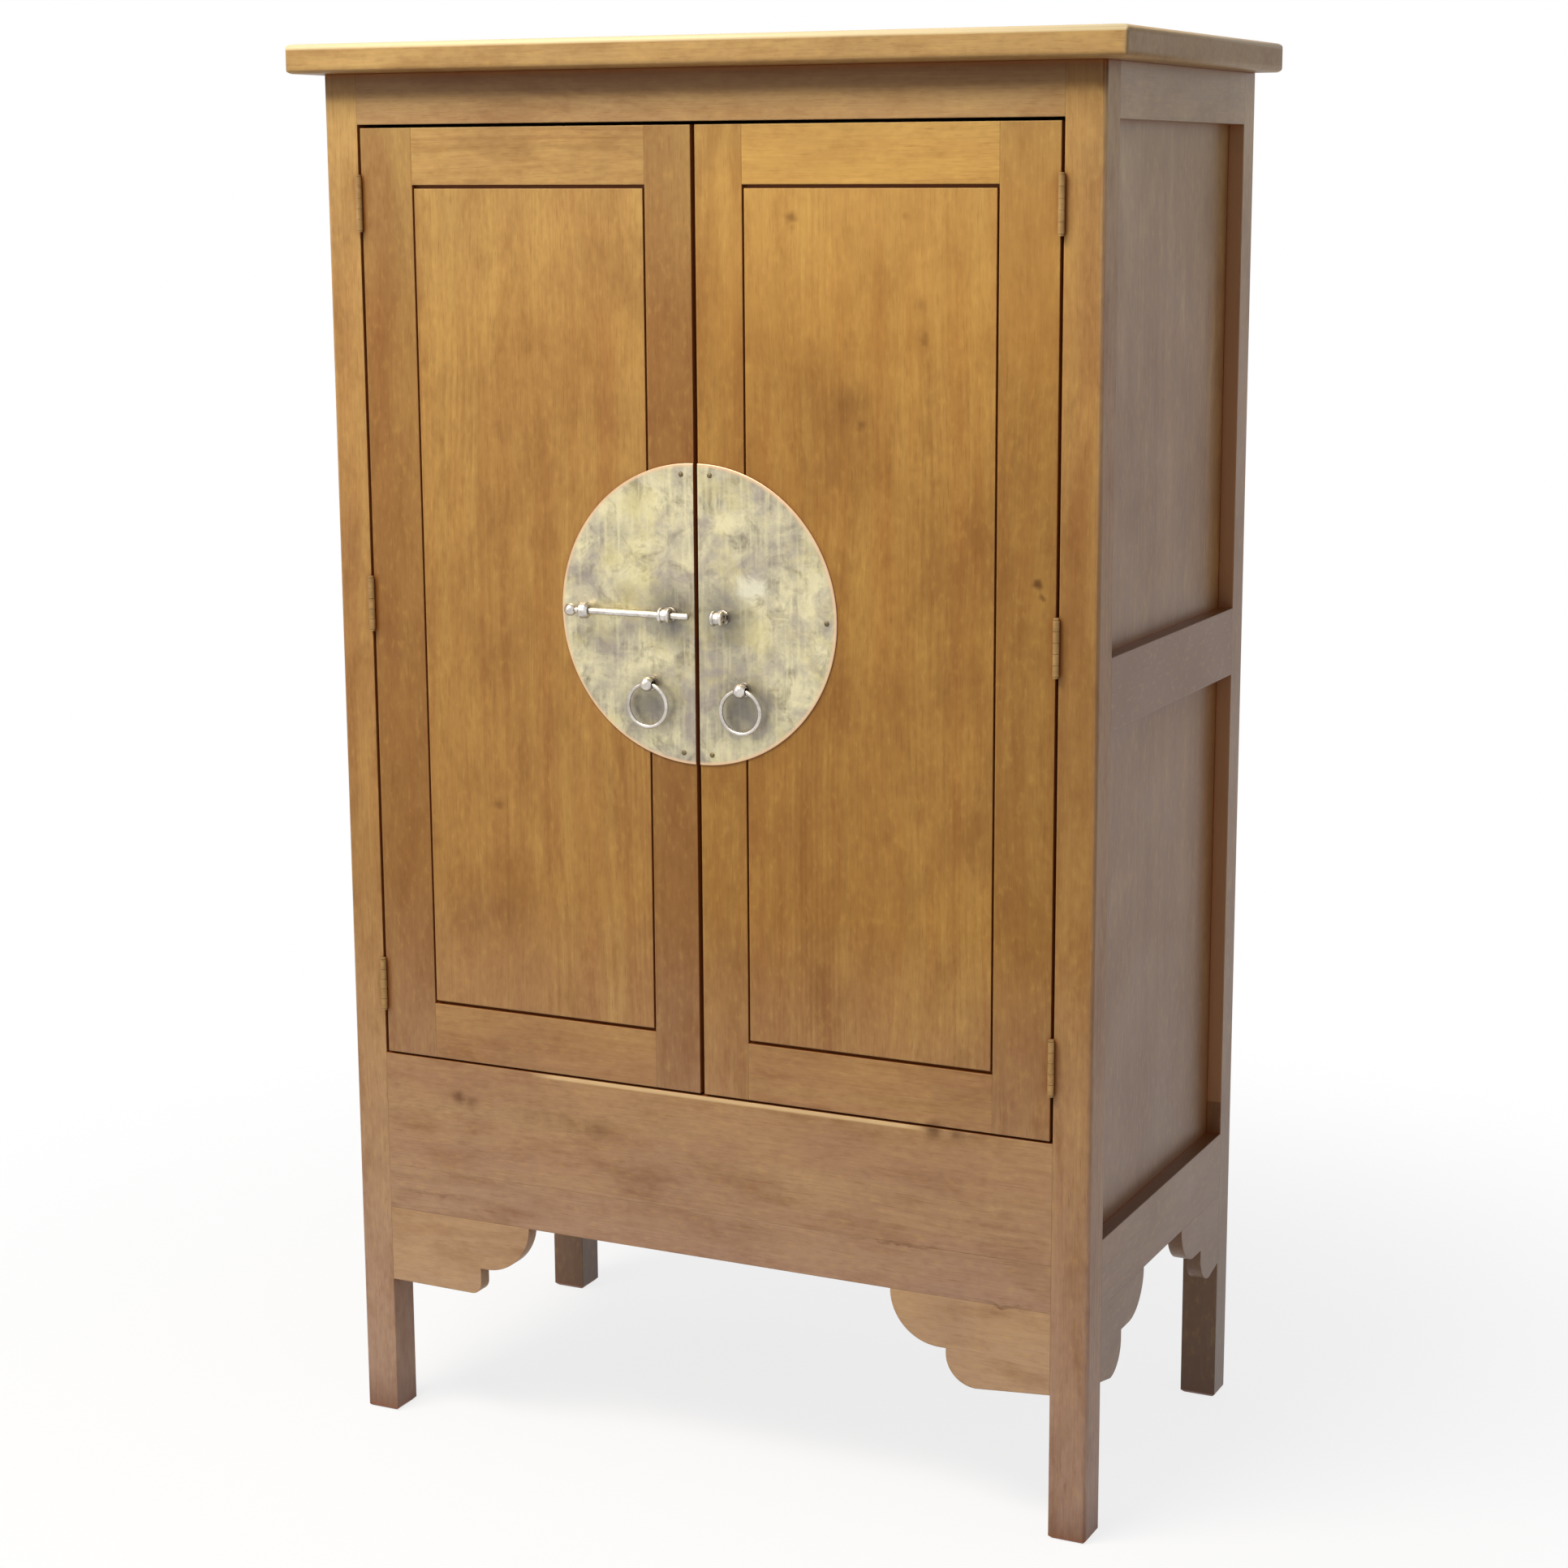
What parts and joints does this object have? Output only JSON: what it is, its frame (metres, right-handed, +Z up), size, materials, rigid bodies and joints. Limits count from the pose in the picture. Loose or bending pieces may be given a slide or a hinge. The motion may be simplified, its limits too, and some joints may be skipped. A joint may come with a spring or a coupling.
{
  "type": "two-door armoire",
  "caption": "Tall two-door armoire with a post-and-rail carcass, inset panel doors, a split round brass lock plate with a sliding bolt and ring pulls, and cloud-lobed corner brackets.",
  "frame": {"origin": "on the floor, under the middle of the top board's outline", "axes": "+Z up, -Y towards the front with the doors, +X towards the right-hand side seen from the front"},
  "size_m": [1.106, 0.584, 1.8],
  "materials": {
    "honey_elm": "waxed satin",
    "grey_elm": "worn satin",
    "inner_elm": "unpolished",
    "old_brass": "mottled patina",
    "bright_brass": "polished by use",
    "hinge_brass": "dull"
  },
  "bodies": {
    "cabinet": {"top_board": "honey_elm", "front_left_post": "honey_elm", "front_right_post": "honey_elm", "rear_left_post": "grey_elm", "rear_right_post": "grey_elm", "front_top_rail": "honey_elm", "front_bottom_rail": "honey_elm", "front_apron": "honey_elm", "front_left_bracket": "honey_elm", "front_right_bracket": "honey_elm", "left_top_rail": "grey_elm", "left_middle_rail": "grey_elm", "left_bottom_rail": "grey_elm", "left_upper_panel": "grey_elm", "left_lower_panel": "grey_elm", "left_side_front_bracket": "grey_elm", "left_side_rear_bracket": "grey_elm", "right_top_rail": "grey_elm", "right_middle_rail": "grey_elm", "right_bottom_rail": "grey_elm", "right_upper_panel": "grey_elm", "right_lower_panel": "grey_elm", "right_side_front_bracket": "grey_elm", "right_side_rear_bracket": "grey_elm", "back_top_rail": "grey_elm", "back_middle_rail": "grey_elm", "back_bottom_rail": "grey_elm", "back_upper_panel": "grey_elm", "back_lower_panel": "grey_elm", "floor_board": "inner_elm", "lower_shelf": "inner_elm", "upper_shelf": "inner_elm", "shelf_cleats": "inner_elm", "frame_hinge_leaves": "hinge_brass", "hinge_pins": "bright_brass", "frame_hinge_screws": "hinge_brass"},
    "left_door": {"left_door_outer_stile": "honey_elm", "left_door_inner_stile": "honey_elm", "left_door_top_rail": "honey_elm", "left_door_bottom_rail": "honey_elm", "left_door_panel": "honey_elm", "left_door_hinge_leaves": "hinge_brass", "left_door_hinge_screws": "hinge_brass", "left_lock_plate": "old_brass", "left_bolt_lug": "bright_brass", "left_ring_eye": "bright_brass"},
    "right_door": {"right_door_outer_stile": "honey_elm", "right_door_inner_stile": "honey_elm", "right_door_top_rail": "honey_elm", "right_door_bottom_rail": "honey_elm", "right_door_panel": "honey_elm", "right_door_hinge_leaves": "hinge_brass", "right_door_hinge_screws": "hinge_brass", "right_lock_plate": "old_brass", "right_bolt_lug": "bright_brass", "right_ring_eye": "bright_brass"},
    "bolt": {"bolt": "bright_brass"},
    "left_ring": {"left_ring": "bright_brass"},
    "right_ring": {"right_ring": "bright_brass"}
  },
  "joints": [
    {"name": "right_door_hinge", "type": "hinge", "parent": "cabinet", "child": "right_door", "pos_m": [0.4679, -0.2642, 1.1025], "axis": [0, 0, 1], "range_deg": [0, 170]},
    {"name": "left_door_hinge", "type": "hinge", "parent": "cabinet", "child": "left_door", "pos_m": [-0.4679, -0.2642, 1.1025], "axis": [0, 0, -1], "range_deg": [0, 170]},
    {"name": "bolt_slide", "type": "slide", "parent": "left_door", "child": "bolt", "axis": [1, 0, 0], "range_m": [0, 0.095]},
    {"name": "left_ring_pivot", "type": "hinge", "parent": "left_door", "child": "left_ring", "pos_m": [-0.064, -0.273, 1.0262], "axis": [-1, 0, 0], "range_deg": [-8, 160]},
    {"name": "right_ring_pivot", "type": "hinge", "parent": "right_door", "child": "right_ring", "pos_m": [0.064, -0.273, 1.0262], "axis": [-1, 0, 0], "range_deg": [-8, 160]}
  ]
}
